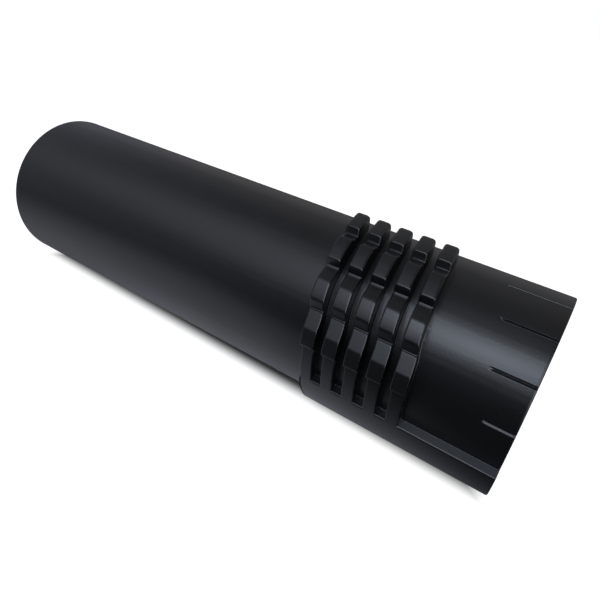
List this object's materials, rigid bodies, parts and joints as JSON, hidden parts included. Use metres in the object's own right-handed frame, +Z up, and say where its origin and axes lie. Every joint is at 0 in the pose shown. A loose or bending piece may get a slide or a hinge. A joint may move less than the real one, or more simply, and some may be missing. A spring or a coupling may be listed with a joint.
{
  "type": "leaf blower nozzle tube",
  "caption": "Straight black plastic blower tube, open at both ends, with a thickened lower half at the inlet, a grip of toothed rings and shallow slots in the inlet rim.",
  "frame": {"origin": "under the middle of the tube's length, on the surface that the saddle rests on, below the tube's axis", "axes": "+X along the tube from the outlet lip to the inlet rim, +Z up, with the toothed rings on the -Y side and the top, rolled to where the tube comes to rest"},
  "size_m": [0.263, 0.0864, 0.0868],
  "materials": {
    "tube_plastic": "satin black moulded plastic with a fine grain"
  },
  "bodies": {
    "root": {"nozzle_tube": "tube_plastic"}
  },
  "joints": []
}
